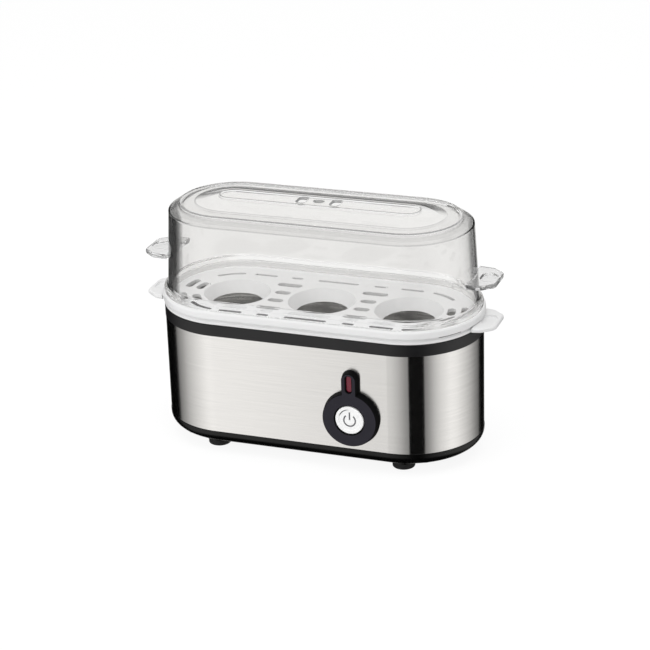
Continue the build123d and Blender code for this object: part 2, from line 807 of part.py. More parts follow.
# Inner wires
live_x = block_x + block_pitch
earth_x = block_x - block_pitch
live_blade = control_x - switch_blade_x
load_blade = control_x + switch_blade_x
fuse_end = fuse_length / 2
fuse_turn = fuse_end + 2 * wire_bend - 1
live_y = block_y - live_run
live_z = control_z - live_drop
earth_z = strap_low - earth_drop
feed_z = fuse_z - feed_drop
load_z = blade_low - load_drop
load_y = blade_end + 2 * wire_bend + 1
return_z = pin_low - return_drop
wires = [
    tube([(live_x, block_y, block_top), (live_x, block_y, live_z), (live_x, live_y, live_z),
          (live_blade, live_y, live_z), (live_blade, live_y, control_z), (live_blade, blade_end, control_z)],
         wire_radius),
    tube([(load_blade, blade_end, control_z), (load_blade, load_y, control_z), (0, -blade_y, load_z),
          (0, -blade_y, blade_low)], wire_radius),
    tube([(0, blade_y, blade_low), (0, blade_y, return_z), (leg_x, blade_y, return_z),
          (leg_x, element_turn, return_z), (leg_x, element_turn, pin_low)], wire_radius),
    tube([(block_x, block_y, block_top), (block_x, block_y, feed_z), (block_x, fuse_turn, feed_z),
          (fuse_x, fuse_turn, fuse_z), (fuse_x, fuse_end, fuse_z)], wire_radius),
    tube([(fuse_x, -fuse_end, fuse_z), (fuse_x, -fuse_turn, fuse_z), (fuse_x, -fuse_turn, return_z),
          (-leg_x, -fuse_turn, return_z), (-leg_x, element_turn, return_z), (-leg_x, element_turn, pin_low)],
         wire_radius),
    tube([(earth_x, block_y, block_top), (earth_x, block_y, earth_z), (-strap_x, block_y, earth_z),
          (-strap_x, strap_wire_y, earth_z), (-strap_x, strap_wire_y, strap_low)], wire_radius),
]
lamp_lead_y = holder_back + lamp_lead
for sx in (-1, 1):
    x = control_x + sx * lamp_wire_pitch / 2
    wires.append(tube([(x, holder_back, lens_z), (x, lamp_lead_y, lens_z),
                       (x, lamp_lead_y, control_z + switch_half_z)], lamp_wire_radius))
parts["wiring"] = group(wires)

# Egg tray: grooved rim, three funnel seats, steam slots and two finger tabs
rim_radius = body_radius + rim_proud
groove_radius = band_radius - rim_groove_depth
groove_low = band_top + rim_lip + rim_groove_ramp
groove_high = groove_low + rim_groove
tray_skirt_radius = collar_mouth_radius - lift_gap
tray_skirt_inside = tray_skirt_radius - tray_skirt_wall
tray = ring(section([
    (band_radius, band_top, 0.4),
    (band_radius, groove_low - rim_groove_ramp, 0.3),
    (groove_radius, groove_low),
    (groove_radius, groove_high),
    (rim_radius, groove_high + rim_groove_ramp, 0.4),
    (rim_radius, rim_top, rim_edge),
    (rim_wall_radius, rim_top, 0.6),
    (rim_wall_radius, floor_top, 0.8),
    (0, floor_top),
    (0, floor_top - tray_floor),
    (tray_skirt_inside, floor_top - tray_floor),
    (tray_skirt_inside, band_top - tray_skirt_depth),
    (tray_skirt_radius, band_top - tray_skirt_depth),
    (tray_skirt_radius, band_top),
]))
seat_xs = (-seat_pitch, 0, seat_pitch)
seat_low = floor_top - seat_depth


def funnel(x, top_radius, low_radius):
    return Pos(x, 0, seat_low) * Cone(low_radius, top_radius, seat_depth,
                                      align=(Align.CENTER, Align.CENTER, Align.MIN))


tray = tray + [funnel(x, seat_radius + seat_wall, seat_hole_radius + seat_wall) for x in seat_xs]
tray = tray - [funnel(x, seat_radius, seat_hole_radius) for x in seat_xs]
slots = []
for side in (-1, 1):
    for row in (-1.5, -0.5, 0.5, 1.5):
        length = inner_row_length if abs(row) < 1 else outer_row_length
        slots.append(Pos(side * seat_pitch / 2, row * row_pitch) * SlotOverall(length, row_width))
    edge_y = side * edge_slot_reach
    slots.append(Pos(0, edge_y) * SlotOverall(middle_slot_length, edge_slot_width))
    for sx in (-1, 1):
        slots.append(Pos(sx * short_slot_x, edge_y) * SlotOverall(short_slot_length, edge_slot_width))
        slots.append(Pos(sx * side_slot_x, edge_y) * SlotOverall(side_slot_length, edge_slot_width))
for sx in (-1, 1):
    kinds = (
        (end_slot_bearings, end_slot_reach, end_slot_span, end_slot_width),
        (corner_slot_bearings, edge_slot_reach, corner_slot_span, edge_slot_width),
        (inner_slot_bearings, inner_slot_reach, inner_slot_span, inner_slot_width),
    )
    for bearings, reach, span, width in kinds:
        for bearing in bearings:
            middle = bearing - 90 if sx > 0 else 270 - bearing
            arc = CenterArc((sx * end_centre_x, 0), reach, middle - span / 2, span)
            slots.append(SlotArc(arc, width))
tray = tray - [extrude(Pos(0, 0, floor_top - tray_floor) * slot, amount=tray_floor) for slot in slots]
tab_low = band_top + tray_tab_lift
tab_top = tab_low + tray_tab_thickness
tab_root = end_centre_x + rim_wall_radius + rim_wall_core
tray_tab = finger_tab(tab_low, tab_top, tab_root, tray_tab_dish)
tray_tab = tray_tab - slab(rim_wall_radius + rim_wall_core, tab_low, rim_top)
tray = tray + both_ends(tray_tab)
parts["egg_tray"] = tray

# Lid: a drafted clear cover with a lip, a skirt inside the tray's rim, two tabs and two vents
shoulder_z = rim_top + lid_shoulder_rise
ring_z = shoulder_z + lid_slope_rise
crown_z = ring_z + lid_crown_step
draft = (lid_foot_radius - lid_shoulder_radius) / lid_shoulder_rise
skirt_low = rim_top - lid_skirt_depth
lip_top = rim_top + lid_lip_height
wall_foot = lid_foot_radius - draft * lid_lip_height
skin = ring(section([
    (0, skirt_low),
    (lid_foot_radius, skirt_low),
    (lid_foot_radius, rim_top),
    (lid_lip_radius, rim_top, 0.4),
    (lid_lip_radius, lip_top, 1.0),
    (wall_foot, lip_top + 0.6, lid_lip_sweep),
    (lid_shoulder_radius, shoulder_z, 0.8),
    (lid_ring_radius, ring_z, 0.3),
    (lid_panel_radius, ring_z, 0.8),
    (lid_crown_radius, crown_z, 0.35),
    (0, crown_z),
]))
lid_tab_top = rim_top + lid_tab_rise + lid_tab_thickness
lid_tab = finger_tab(rim_top + lid_tab_rise, lid_tab_top, end_centre_x + lid_shoulder_radius, lid_tab_dish)
skin = skin + both_ends(lid_tab)
slope = math.atan2(ring_z - shoulder_z, lid_shoulder_radius - lid_ring_radius)
inner_ring = lid_ring_radius - lid_wall * math.tan(slope / 2)
inner_shoulder_r = lid_shoulder_radius - lid_wall
inner_shoulder_z = ring_z - lid_wall - (inner_shoulder_r - inner_ring) * math.tan(slope)
hollow = ring(section([
    (0, skirt_low),
    (lid_foot_radius - lid_wall, skirt_low),
    (lid_foot_radius - lid_wall, rim_top),
    (inner_shoulder_r, inner_shoulder_z, 0.6),
    (inner_ring, ring_z - lid_wall, lid_ring_sweep),
    (lid_panel_radius, ring_z - lid_wall, 0.8),
    (lid_crown_radius, crown_z - lid_wall, lid_crown_sweep),
    (0, crown_z - lid_wall),
]))
lid = skin - hollow
vent_plan = fillet(Rectangle(vent_width, vent_length).vertices(), vent_round)
for sx in (-1, 1):
    lid = lid - extrude(Pos(sx * vent_x, 0, crown_z - lid_wall - 1) * vent_plan, amount=lid_wall + 2)
lid = lid - peg(0, 0, crown_z - dimple_depth, crown_z, dimple_radius)
parts["lid"] = lid

os.makedirs("parts", exist_ok=True)
for name, shape in parts.items():
    export_step(shape, "parts/" + name + ".step")
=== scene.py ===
# %% [markdown]
# # A three-seat egg cooker
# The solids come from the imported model, in metres: a steel wall on a black base, a black collar, a white tray
# and a clear lid. They are the fixed frame of this lesson. Each step gives them the finish that the real
# thing has, or models a small piece that the solids leave out.

# %% Load the solids
import math
import bmesh
import bpy
from mathutils import Matrix, Vector


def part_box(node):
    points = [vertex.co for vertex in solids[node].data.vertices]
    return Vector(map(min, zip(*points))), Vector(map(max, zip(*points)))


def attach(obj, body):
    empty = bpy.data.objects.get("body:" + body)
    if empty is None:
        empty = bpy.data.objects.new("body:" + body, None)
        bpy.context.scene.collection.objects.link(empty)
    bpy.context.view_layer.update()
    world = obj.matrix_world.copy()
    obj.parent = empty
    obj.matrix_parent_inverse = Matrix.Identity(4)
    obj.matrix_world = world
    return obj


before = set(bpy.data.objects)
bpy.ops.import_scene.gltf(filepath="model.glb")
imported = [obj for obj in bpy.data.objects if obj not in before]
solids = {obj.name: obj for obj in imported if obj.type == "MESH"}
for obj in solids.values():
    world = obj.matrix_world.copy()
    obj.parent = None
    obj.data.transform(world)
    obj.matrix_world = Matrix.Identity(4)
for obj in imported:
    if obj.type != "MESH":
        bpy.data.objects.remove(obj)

MM = 0.001
scene = bpy.context.scene
scene.view_settings.view_transform = "Standard"
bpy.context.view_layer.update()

# %% [markdown]
# ## Camera
# The viewing angle was worked out from the picture by fitting the plan's two round ends and the heights of the
# rims. A camera's own axes are its columns: right, up and back, so the matrix is filled straight from those three.
# The slight roll is in the picture too. A long lens far away keeps the verticals nearly parallel.

# %% Camera
turn, lift, roll = math.radians(20.427), math.radians(22.60), math.radians(-1.856)
aim = Vector((1.164, 0, 68.978)) * MM
camera_distance = 1.25
focal_pixels, picture_pixels = 2181.143, 650
sensor = 36

back = Vector((math.sin(turn) * math.cos(lift), -math.cos(turn) * math.cos(lift), math.sin(lift)))
level = Vector((math.cos(turn), math.sin(turn), 0))
upward = back.cross(level)
right = math.cos(roll) * level + math.sin(roll) * upward
up = math.cos(roll) * upward - math.sin(roll) * level

camera = bpy.data.objects.new("camera", bpy.data.cameras.new("camera"))
scene.collection.objects.link(camera)
spot = Matrix.Translation(aim + back * camera_distance)
camera.matrix_world = spot @ Matrix((right, up, back)).transposed().to_4x4()
camera.data.sensor_width = sensor
camera.data.lens = sensor * focal_pixels / picture_pixels
camera.data.clip_start = 0.05
camera.data.clip_end = 20
scene.camera = camera
print("camera at", [round(v, 3) for v in camera.location], "lens", round(camera.data.lens, 1))

# %% [markdown]
# ## Studio
# Brushed steel shows the room more than itself, so the room matters. A studio for shiny kitchenware is a white
# tent with a few tall black flags. Here the tent is the world: a graph of nodes that answers each ray with a colour.
# The brightness that reflections find there depends on the compass bearing of the ray and on its height.

# %% The tent's brightness
# bearing in degrees from the front, positive to the right, and the brightness there
tent = [
    (-180, 0.62), (-130, 0.50), (-105, 0.24), (-98, 0.22), (-90, 0.30), (-82, 0.37), (-70, 0.54),
    (-57, 0.68), (-46, 0.80), (-34, 0.92), (-24, 0.95), (-21.5, 0.845), (-19, 0.725), (-10, 0.61), (-1, 0.49),
    (8, 0.33), (13, 0.26), (20, 0.20), (40, 0.20), (46, 0.30), (51, 0.42), (58, 0.58), (66, 0.72), (83, 0.92),
    (94, 0.88), (106, 0.73), (120, 0.56), (137, 0.34), (150, 0.26), (170, 0.30), (180, 0.62),
]
# height in degrees above the horizon, and the share of that brightness
tent_height = [(-90, 0.01), (-54, 0.015), (-42, 1.0), (-4, 1.0), (-1, 0.3), (12, 0.3), (17, 1.0), (90, 1.0)]


def node(tree, kind, **settings):
    """Add a shader node and set its properties or its input sockets by name."""
    made = tree.nodes.new(kind)
    for key, value in settings.items():
        if hasattr(made, key):
            setattr(made, key, value)
        else:
            made.inputs[key.replace("_", " ")].default_value = value
    return made


def calc(tree, operation, *values):
    """A math node. Each value is a number or the output of another node."""
    made = node(tree, "ShaderNodeMath", operation=operation)
    for i, value in enumerate(values):
        if isinstance(value, (int, float)):
            made.inputs[i].default_value = value
        else:
            tree.links.new(value, made.inputs[i])
    return made.outputs[0]


def axes(tree, vector):
    """The X, Y and Z of a vector."""
    made = node(tree, "ShaderNodeSeparateXYZ")
    tree.links.new(vector, made.inputs[0])
    return made.outputs["X"], made.outputs["Y"], made.outputs["Z"]


def ramp(tree, value, stops):
    """A colour ramp of (place, grey level) stops, a little warm, read at a value."""
    made = node(tree, "ShaderNodeValToRGB")
    elements = made.color_ramp.elements
    for i, (place, grey) in enumerate(stops):
        stop = elements[i] if i < 2 else elements.new(place)
        stop.position = place
        stop.color = (grey, grey * 0.995, grey * 0.985, 1)
    tree.links.new(value, made.inputs[0])
    return made.outputs[0]


world = bpy.data.worlds.new("white_tent")
scene.world = world
world.use_nodes = True
tree = world.node_tree
tree.nodes.clear()
ray_x, ray_y, ray_z = axes(tree, node(tree, "ShaderNodeTexCoord").outputs["Generated"])
bearing = calc(tree, "ARCTAN2", ray_x, calc(tree, "MULTIPLY", ray_y, -1))
stripes = ramp(tree, calc(tree, "MULTIPLY_ADD", bearing, 0.5 / math.pi, 0.5),
               [((degrees + 180) / 360, grey) for degrees, grey in tent])
heights = ramp(tree, calc(tree, "MULTIPLY_ADD", ray_z, 0.5, 0.5),
               [((math.sin(math.radians(degrees)) + 1) / 2, grey) for degrees, grey in tent_height])
both = node(tree, "ShaderNodeVectorMath", operation="MULTIPLY")
tree.links.new(stripes, both.inputs[0])
tree.links.new(heights, both.inputs[1])
print("tent stops:", len(tent), "by bearing,", len(tent_height), "by height")

# %% [markdown]
# Only reflections see those stripes. The eye sees plain white, also through the lid. Every other ray finds a softer
# white, which lights the dull pieces.

# %% What each ray sees


def choose(tree, share, first, second):
    """Blend two shaders."""
    made = node(tree, "ShaderNodeMixShader")
    for i, source in enumerate((share, first, second)):
        tree.links.new(source, made.inputs[i])
    return made.outputs[0]


rays = node(tree, "ShaderNodeLightPath").outputs
soft_white = node(tree, "ShaderNodeBackground", Color=(1, 1, 1, 1), Strength=0.62)
plain_white = node(tree, "ShaderNodeBackground", Color=(1, 1, 1, 1), Strength=1.0)
striped = node(tree, "ShaderNodeBackground", Strength=1.18)
tree.links.new(both.outputs[0], striped.inputs["Color"])
for_metal = choose(tree, rays["Is Glossy Ray"], soft_white.outputs[0], striped.outputs[0])
seen = calc(tree, "MAXIMUM", rays["Is Camera Ray"], rays["Is Transmission Ray"])
for_eye = choose(tree, seen, for_metal, plain_white.outputs[0])
out = node(tree, "ShaderNodeOutputWorld")
tree.links.new(for_eye, out.inputs[0])
print("world nodes:", len(tree.nodes))

# %% [markdown]
# The flags are cards of black felt on stands, a forearm's length from the metal. Each gives it one clean dark stripe
# with sharp sides. A card is one edge on plan, drawn upwards. Only reflections see the cards, so that none of them
# blocks a view or throws a shadow.

# %% Black flags
flag_foot, flag_height = -0.4, 0.6


def bare(name):
    """A material with nothing in its graph but the output."""
    made = bpy.data.materials.new(name)
    made.use_nodes = True
    made.node_tree.nodes.clear()
    return made, made.node_tree, node(made.node_tree, "ShaderNodeOutputMaterial").inputs[0]


def shape(name, drawing):
    """An object from a drawing, which is then put away."""
    made = bpy.data.objects.new(name, bpy.data.meshes.new(name))
    drawing.to_mesh(made.data)
    drawing.free()
    scene.collection.objects.link(made)
    return made


felt, tree, out = bare("black_felt")
nap = node(tree, "ShaderNodeBsdfDiffuse", Color=(0.003, 0.003, 0.003, 1))
tree.links.new(nap.outputs[0], out)


def flag(name, first, second):
    """An upright black card between two points on plan, in millimetres."""
    drawing = bmesh.new()
    edge = drawing.edges.new([drawing.verts.new((x * MM, y * MM, flag_foot)) for x, y in (first, second)])
    drawn = bmesh.ops.extrude_edge_only(drawing, edges=[edge])
    top = [v for v in drawn["geom"] if isinstance(v, bmesh.types.BMVert)]
    bmesh.ops.translate(drawing, vec=(0, 0, flag_height), verts=top)
    card = shape(name, drawing)
    card.data.materials.append(felt)
    card.visible_camera = card.visible_diffuse = card.visible_transmission = card.visible_shadow = False


flag("flag_front_right", (141, -330), (262, -268))
flag("flag_left", (-374, 2), (-270, 215))
flag("flag_rear_right", (240, 258), (110, 305))

# %% [markdown]
# The floor is one large square. To the eye it is almost white by itself, with a share of real shading mixed in, so
# that only the contact shadow shows. Reflections skip it, because the tent stands for the table as well.

# %% Floor
floor_half = 3
glow_share = 0.87

square = bmesh.new()
bmesh.ops.create_grid(square, x_segments=1, y_segments=1, size=floor_half)
floor = shape("floor", square)
floor.visible_glossy = floor.visible_transmission = False
paper, tree, out = bare("white_paper")
shading = node(tree, "ShaderNodeBsdfDiffuse", Color=(0.95, 0.95, 0.95, 1))
glow = node(tree, "ShaderNodeEmission", Color=(1, 1, 1, 1), Strength=1.04)
eye = node(tree, "ShaderNodeLightPath").outputs["Is Camera Ray"]
tree.links.new(choose(tree, calc(tree, "MULTIPLY", eye, glow_share), shading.outputs[0], glow.outputs[0]), out)
floor.data.materials.append(paper)
print("floor width:", 2 * floor_half, "m")

# %% [markdown]
# Two large soft lamps fill the tent. Reflections skip them, because the tent already holds all the stripes.

# %% Lamps


def softbox(name, place, aim_at, width, height, watts):
    """A large square lamp that looks at a point."""
    lamp = bpy.data.lights.new(name, "AREA")
    lamp.shape = "RECTANGLE"
    lamp.size, lamp.size_y, lamp.energy = width, height, watts
    holder = bpy.data.objects.new(name, lamp)
    scene.collection.objects.link(holder)
    holder.location = Vector(place)
    holder.rotation_mode = "QUATERNION"
    holder.rotation_quaternion = (Vector(aim_at) - Vector(place)).to_track_quat("-Z", "Y")
    holder.visible_glossy = holder.visible_transmission = holder.visible_camera = False


softbox("overhead", (0.1, -0.25, 1.1), (0, 0, 0.08), 1.0, 0.7, 5.0)
softbox("front_left", (-0.7, -0.9, 0.6), (0, 0, 0.07), 0.5, 0.5, 3.0)

# %% [markdown]
# ## Finishes
# Every piece has a finish made of nodes, read at Object coordinates in metres, so the grain is the same size on
# every piece. Moulded plastic is never one even colour: the mould's surface gives it a fine grain, and the gloss
# wanders a little. One helper makes all the mouldings, and a second one makes all the brushed metals. Both let a
# noise move the colour, the roughness and the height of the surface.

# %% Moulded plastic
finishes = {}
NOISE_LOW, NOISE_HIGH = 0.3, 0.7  # nearly all of a noise lies between these


def start(slot):
    """An empty finish with a Principled shader."""
    made = bpy.data.materials.new(slot + "_finish")
    made.use_nodes = True
    finishes[slot] = made
    return made.node_tree, made.node_tree.nodes["Principled BSDF"]


def position(tree):
    """Where the point lies in the object's own coordinates."""
    return node(tree, "ShaderNodeTexCoord").outputs["Object"]


def noise(tree, place, **settings):
    """A noise read at a place."""
    made = node(tree, "ShaderNodeTexNoise", **settings)
    tree.links.new(place, made.inputs["Vector"])
    return made.outputs["Fac"]


def rise(tree, value, first, last, low=0.0, high=1.0):
    """A share that goes from low to high while the value goes from first to last."""
    made = node(tree, "ShaderNodeMapRange", From_Min=first, From_Max=last, To_Min=low, To_Max=high)
    tree.links.new(value, made.inputs["Value"])
    return made.outputs[0]


def vary_colour(tree, shader, tone, colour, swing):
    """Let a noise move the colour up and down by a share."""
    made = node(tree, "ShaderNodeValToRGB")
    darker, lighter = made.color_ramp.elements
    darker.position, lighter.position = NOISE_LOW, NOISE_HIGH
    darker.color = (*[c * (1 - swing) for c in colour], 1)
    lighter.color = (*[min(c * (1 + swing), 1) for c in colour], 1)
    tree.links.new(tone, made.inputs[0])
    tree.links.new(made.outputs[0], shader.inputs["Base Color"])


def vary_gloss(tree, shader, tone, low, high):
    """Let a noise move the roughness between two values."""
    tree.links.new(rise(tree, tone, NOISE_LOW, NOISE_HIGH, low, high), shader.inputs["Roughness"])


def raise_grain(tree, shader, grain, strength, depth):
    """Let a noise lift the surface, by a depth in millimetres."""
    made = node(tree, "ShaderNodeBump", Strength=strength, Distance=depth * MM)
    tree.links.new(grain, made.inputs["Height"])
    tree.links.new(made.outputs[0], shader.inputs["Normal"])


def moulded(slot, colour, gloss, grain=0.25, depth=0.012, wander=0.05, swing=0.06, shine=0.5):
    """Plastic or rubber: grain size and depth in millimetres, gloss as roughness."""
    tree, shader = start(slot)
    shader.inputs["Specular IOR Level"].default_value = shine
    place = position(tree)
    fine = noise(tree, place, Scale=1 / (grain * MM), Detail=2.0, Roughness=0.55)
    broad = noise(tree, place, Scale=60.0, Detail=3.0, Roughness=0.6)
    vary_colour(tree, shader, broad, colour, swing)
    vary_gloss(tree, shader, broad, gloss - wander, gloss + wander)
    raise_grain(tree, shader, fine, 0.6, depth)
    return tree, shader


moulded("black_base", (0.002, 0.002, 0.002), 0.24, grain=0.3, depth=0.004, shine=0.28)
moulded("black_collar", (0.008, 0.0078, 0.009), 0.40, grain=0.22, depth=0.010, shine=0.42)
moulded("foot_rubber", (0.014, 0.014, 0.014), 0.75, grain=0.35, depth=0.03)
moulded("gland_plastic", (0.02, 0.02, 0.02), 0.5)
moulded("switch_plastic", (0.09, 0.09, 0.09), 0.5)
moulded("block_plastic", (0.78, 0.76, 0.70), 0.45)
moulded("thermostat_black", (0.045, 0.036, 0.032), 0.55, grain=0.4, depth=0.02)
moulded("fuse_sleeve", (0.72, 0.69, 0.62), 0.7, grain=0.5, depth=0.05)
moulded("wire_sleeve", (0.74, 0.72, 0.66), 0.7, grain=0.4, depth=0.05)
tree, shader = moulded("seal_silicone", (0.62, 0.62, 0.60), 0.45, grain=0.6, depth=0.01)
shader.inputs["Subsurface Weight"].default_value = 0.4
shader.inputs["Subsurface Radius"].default_value = (0.002, 0.002, 0.002)
print("mouldings:", sorted(finishes))

# %% [markdown]
# Brushed steel is made by a belt of grit that runs along the sheet, so every scratch is long and level. The noise is
# stretched: slow along the wall and very fast up it. The scratches also spread reflections up and down but not
# sideways. The shader calls that anisotropy, and stretches reflections along the tangent it is given, so the tangent
# is straight up, across the scratches.

# %% Brushed and plated metals


def brushed(slot, colour, gloss, stretch, grip, depth=0.0008, contrast=0.10):
    """Metal with scratches: stretch is the noise scale along X, Y and Z, grip the anisotropy."""
    tree, shader = start(slot)
    shader.inputs["Metallic"].default_value = 1.0
    shader.inputs["Anisotropic"].default_value = grip
    pull = node(tree, "ShaderNodeMapping", Scale=stretch)
    tree.links.new(position(tree), pull.inputs[0])
    scratch = noise(tree, pull.outputs[0], Scale=1.0, Detail=5.0, Roughness=0.65)
    vary_colour(tree, shader, scratch, colour, contrast)
    vary_gloss(tree, shader, scratch, gloss * 0.85, gloss * 1.15)
    raise_grain(tree, shader, scratch, 0.5, depth)
    if grip:
        across = node(tree, "ShaderNodeCombineXYZ", Z=1.0)
        tree.links.new(across.outputs[0], shader.inputs["Tangent"])
    return tree, shader


tree, shader = brushed("brushed_steel", (0.80, 0.79, 0.778), 0.16, (26, 26, 1500), 1.0, depth=0.0004, contrast=0.055)
shader.inputs["Specular Tint"].default_value = (0.05, 0.05, 0.05, 1)
brushed("plate_steel", (0.68, 0.67, 0.65), 0.30, (900, 900, 900), 0.0, contrast=0.06)
brushed("strap_steel", (0.58, 0.58, 0.58), 0.35, (60, 1500, 60), 0.0)
brushed("screw_steel", (0.66, 0.65, 0.62), 0.32, (1200, 1200, 1200), 0.0)
brushed("element_sheath", (0.34, 0.33, 0.31), 0.45, (700, 700, 700), 0.0)
print("metals added, finishes:", len(finishes))

# %% [markdown]
# The control's surround is one black moulding. Its face was spark-eroded, which leaves a fine matt grain
# that looks slate grey. Its side walls are painted almost black, as painted shade where they turn from the lamps.
# The surface normal tells the two apart: the face looks to the front, along minus Y.

# %% Control surround
FIRST_COLOUR, SECOND_COLOUR, BLENDED = 6, 7, 2  # the colour sockets of a mix node


def mix(tree, share, first, second):
    """Blend two colours, each given as a socket, a grey level or three values."""
    made = node(tree, "ShaderNodeMix", data_type="RGBA")
    tree.links.new(share, made.inputs["Factor"])
    for socket, colour in ((made.inputs[FIRST_COLOUR], first), (made.inputs[SECOND_COLOUR], second)):
        if isinstance(colour, float):
            colour = (colour, colour, colour)
        if isinstance(colour, tuple):
            socket.default_value = (*colour, 1)
        else:
            tree.links.new(colour, socket)
    return made.outputs[BLENDED]


def paint(tree, shader, share, colour):
    """Lay a colour over the base colour that the shader has so far."""
    base = shader.inputs["Base Color"]
    tree.links.new(mix(tree, share, base.links[0].from_socket, colour), base)


def normal(tree):
    """The X, Y and Z of the direction that the surface looks in."""
    return axes(tree, node(tree, "ShaderNodeNewGeometry").outputs["Normal"])


tree, shader = moulded("black_bezel", (0.0260, 0.0245, 0.0325), 0.55, grain=0.22, depth=0.014, shine=0.12)
# painted shade: the side walls, which do not look to the front, are coloured almost black
painted_wall_shade = rise(tree, normal(tree)[1], -0.95, -0.80)
paint(tree, shader, painted_wall_shade, (0.0015, 0.0015, 0.002))
print("surround finish nodes:", len(tree.nodes))

# %% [markdown]
# The button's face is a shallow dish. Its edge shows only at the upper left, where it turns away from the lamps, so a
# thin grey arc is tinted there. The arc is found from the distance and the direction to the button's centre.

# %% White button
rim_radius, rim_half = 6.3, 0.30  # millimetres
upper_left = (-0.6, 0, 0.8)
low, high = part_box("power_button")
hub = Vector(((low.x + high.x) / 2, low.y, (low.z + high.z) / 2))


def vector(tree, operation, first, second=(0, 0, 0)):
    """A vector math node between a socket and fixed values."""
    made = node(tree, "ShaderNodeVectorMath", operation=operation)
    tree.links.new(first, made.inputs[0])
    made.inputs[1].default_value = second
    return made.outputs


def within(tree, length, middle, half):
    """Where a length is within a half width of a middle value, both in millimetres."""
    return calc(tree, "COMPARE", length, middle * MM, half * MM)


def every(tree, *shares):
    """The product of shares: where all of them hold."""
    product = shares[0]
    for share in shares[1:]:
        product = calc(tree, "MULTIPLY", product, share)
    return product


tree, shader = moulded("white_button", (0.97, 0.97, 0.97), 0.30, grain=0.4, depth=0.003, swing=0.01)
from_hub = vector(tree, "SUBTRACT", position(tree), hub)[0]
on_face = vector(tree, "MULTIPLY", from_hub, (1, 0, 1))[0]
radius = vector(tree, "LENGTH", on_face)["Value"]
towards = vector(tree, "NORMALIZE", on_face)[0]
arc = rise(tree, vector(tree, "DOT_PRODUCT", towards, upper_left)["Value"], 0.78, 0.95)
paint(tree, shader, every(tree, within(tree, radius, rim_radius, rim_half), arc), 0.12)
print("button finish nodes:", len(tree.nodes))

# %% [markdown]
# The tray is one white moulding. Its floor is thick beside the narrow slots along the front, so hardly any light
# gets down between their walls. Upright faces at that level and that near the front are therefore coloured dark. The
# limits come from Object coordinates and from the surface normal.

# %% White tray


def over(tree, length, limit):
    """Where a length is over a limit in millimetres."""
    return calc(tree, "GREATER_THAN", length, limit * MM)


def under(tree, length, limit):
    """Where a length is under a limit in millimetres."""
    return calc(tree, "LESS_THAN", length, limit * MM)


def upright(tree, limit):
    """Where the surface normal leans up or down by less than a limit."""
    return calc(tree, "LESS_THAN", calc(tree, "ABSOLUTE", normal(tree)[2]), limit)


tree, shader = moulded("white_tray", (0.80, 0.80, 0.80), 0.34, grain=0.5, depth=0.004, swing=0.015)
_, depth, height = axes(tree, position(tree))
near_front = every(tree, under(tree, depth, -20), over(tree, depth, -31.5))
in_slot = every(tree, upright(tree, 0.3), near_front, within(tree, height, 83, 1))
paint(tree, shader, in_slot, 0.02)
print("tray finish nodes:", len(tree.nodes))

# %% [markdown]
# ## Clear lid
# The lid is clear plastic about 2 mm thick, and different parts of it need different tints. Where a point lies
# follows from its height and from its reach: its distance to the long middle line of the plan. That line ends at the
# centres of the two round ends. A facing weight tells how edge on the surface is seen.

# %% Where on the lid
end_centre = 52  # millimetres from the middle

tree, shader = start("clear_lid")
shader.inputs["IOR"].default_value = 1.49


def hypotenuse(tree, first, second):
    """The distance that two lengths at a right angle give."""
    squares = calc(tree, "ADD", calc(tree, "POWER", first, 2.0), calc(tree, "POWER", second, 2.0))
    return calc(tree, "SQRT", squares)


place = position(tree)
side, depth, height = axes(tree, place)
from_centre = calc(tree, "ABSOLUTE", side)
past_end = calc(tree, "MAXIMUM", calc(tree, "SUBTRACT", from_centre, end_centre * MM), 0.0)
reach = hypotenuse(tree, past_end, depth)
edge_on = node(tree, "ShaderNodeLayerWeight", Blend=0.5).outputs["Facing"]
print("lid place nodes:", len(tree.nodes))

# %% [markdown]
# First the large areas: wall, slope and roof, then the lip at the foot with its skirt inside the tray's rim, the
# finger tabs, the dimple in the middle and the walls of the two vents. A few shares grow slowly instead, such as from
# the round ends to the straight sides, so that no tint starts with a hard line.

# %% Areas of the lid
roof_radius = 21.7  # reach of the raised panel


def other(tree, share):
    """The rest of a share."""
    return calc(tree, "SUBTRACT", 1.0, share)


on_wall = every(tree, within(tree, height, 113.8, 22.2), under(tree, reach, 40.6))
on_slope = every(tree, within(tree, height, 138.4, 2.1), over(tree, reach, 30.2))
on_roof = every(tree, under(tree, reach, roof_radius), over(tree, height, 140.9))
on_lip = every(tree, under(tree, height, 91.0), over(tree, past_end, 20))
on_skirt = every(tree, under(tree, height, 87.9), over(tree, reach, 38.2))
on_tab = every(tree, within(tree, height, 107.2, 2.0), over(tree, reach, 39.1))
on_dimple = every(tree, under(tree, hypotenuse(tree, side, depth), 3.35), over(tree, height, 143))
near_vent = every(tree, within(tree, from_centre, 10, 3.2), within(tree, depth, 0, 5.2))
vent_wall = every(tree, near_vent, upright(tree, 0.5), over(tree, height, 142.0))

straight = rise(tree, past_end, 27 * MM, 13 * MM)
flat_side = rise(tree, past_end, 14 * MM, 4 * MM)
left_end = rise(tree, side, -58 * MM, -66 * MM)
front = rise(tree, depth, 10 * MM, -10 * MM)
low_side = every(tree, under(tree, height, 93.2), straight, other(tree, on_skirt))
print("lid area nodes:", len(tree.nodes))

# %% [markdown]
# Every edge of the roof shows as a thin grey line, because the small round along it bends the light aside. The round
# is narrower than a pixel, so a tint in a narrow band does the same.
#
# The rear of the roof is seen almost edge on, so a dark strip shows low on it and ends in a point at both ends. It
# fades where the roof is seen from higher up or from behind.

# %% Edges and rear of the roof
ring_radius = 30.6  # reach of the edge between the slope and the flat ring

